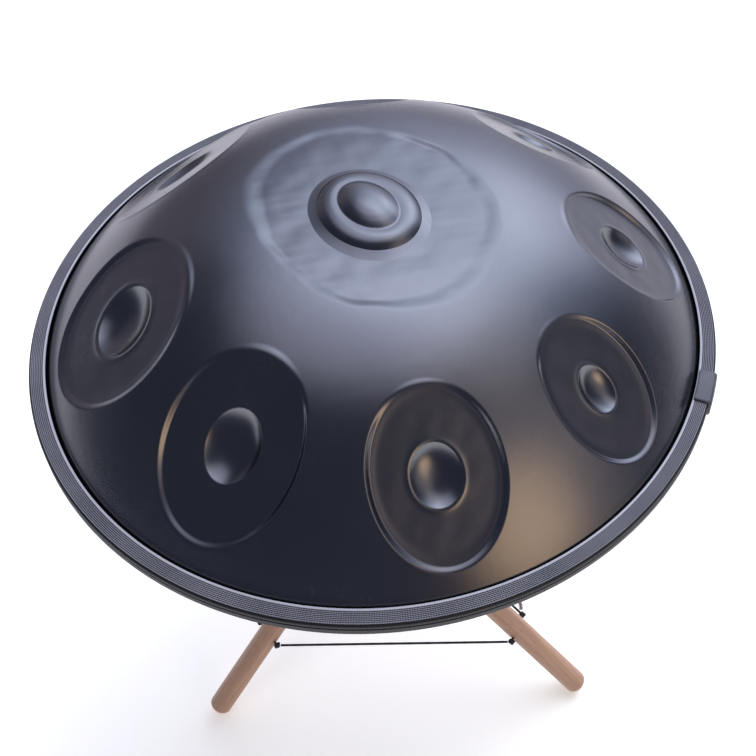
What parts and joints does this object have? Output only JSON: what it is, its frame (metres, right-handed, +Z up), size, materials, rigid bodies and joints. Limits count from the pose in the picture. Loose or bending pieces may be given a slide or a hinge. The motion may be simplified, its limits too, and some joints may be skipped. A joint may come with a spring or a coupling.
{
  "type": "handpan",
  "caption": "Steel handpan with a two-tier central ding and a ring of dimpled tone fields, rubber-trimmed rim, resting on a folding wooden tripod tied with a cord.",
  "frame": {"origin": "on the floor under the middle of the instrument's round rim", "axes": "+Z up along the pan's axis, -Y towards the player's side"},
  "size_m": [0.5359, 0.536, 0.6101],
  "materials": {
    "nitrided_steel_top": "nitrided blue-grey steel, semi-gloss",
    "nitrided_steel_bottom": "nitrided blue-grey steel, satin",
    "adhesive": "cured glue",
    "trim_rubber": "ribbed matte",
    "clip_rubber": "smooth satin",
    "zinc_steel": "zinc plated",
    "sleeve_nylon": "moulded",
    "ferrule_metal": "crimped",
    "beech_wood": "oiled beech",
    "tip_rubber": "matte",
    "cord_black": "braided cord"
  },
  "bodies": {
    "pan": {"ding_shell": "nitrided_steel_top", "gu_shell": "nitrided_steel_bottom", "rim_bond": "adhesive", "rim_trim": "trim_rubber", "trim_clip": "clip_rubber"},
    "hub": {"pivot_bolt": "zinc_steel", "pivot_washers": "zinc_steel", "pivot_nut": "zinc_steel", "eye_bolt": "zinc_steel", "eye_sleeve": "sleeve_nylon", "eye_washer": "zinc_steel", "eye_nut": "zinc_steel"},
    "leg_right": {"leg_right": "beech_wood", "tip_cap_right": "tip_rubber", "cord_knots_right": "cord_black", "cord_right": "cord_black", "cord_ferrule": "ferrule_metal"},
    "leg_left": {"leg_left": "beech_wood", "tip_cap_left": "tip_rubber", "cord_knots_left": "cord_black", "cord_front": "cord_black"},
    "leg_back": {"leg_back": "beech_wood", "tip_cap_back": "tip_rubber", "cord_knots_back": "cord_black", "cord_left": "cord_black"}
  },
  "joints": [
    {"name": "pan_lift", "type": "slide", "parent": "hub", "child": "pan", "axis": [0, 0, 1], "range_m": [0, 0.4]},
    {"name": "leg_right_fold", "type": "hinge", "parent": "hub", "child": "leg_right", "pos_m": [-0.01377, -0.0102, 0.23285], "axis": [-0.0441, 0.9018, -0.4299], "range_deg": [0, 29.36], "deforming": ["cord_right"]},
    {"name": "leg_left_fold", "type": "hinge", "parent": "hub", "child": "leg_left", "pos_m": [-0.01503, 0.0156, 0.22055], "axis": [0.0441, -0.9018, 0.4299], "range_deg": [0, 29.36], "deforming": ["cord_front"]},
    {"name": "leg_back_fold", "type": "hinge", "parent": "hub", "child": "leg_back", "pos_m": [-0.04862, 0.00103, 0.2267], "axis": [-0.9988, -0.0489, 0], "range_deg": [0, 55.27], "deforming": ["cord_left"]}
  ],
  "couplings": [
    {"joint": "leg_right_fold", "follows": "pan_lift", "rad_per_m": 1.2801},
    {"joint": "leg_left_fold", "follows": "pan_lift", "rad_per_m": 1.2801},
    {"joint": "leg_back_fold", "follows": "pan_lift", "rad_per_m": 2.4107}
  ]
}
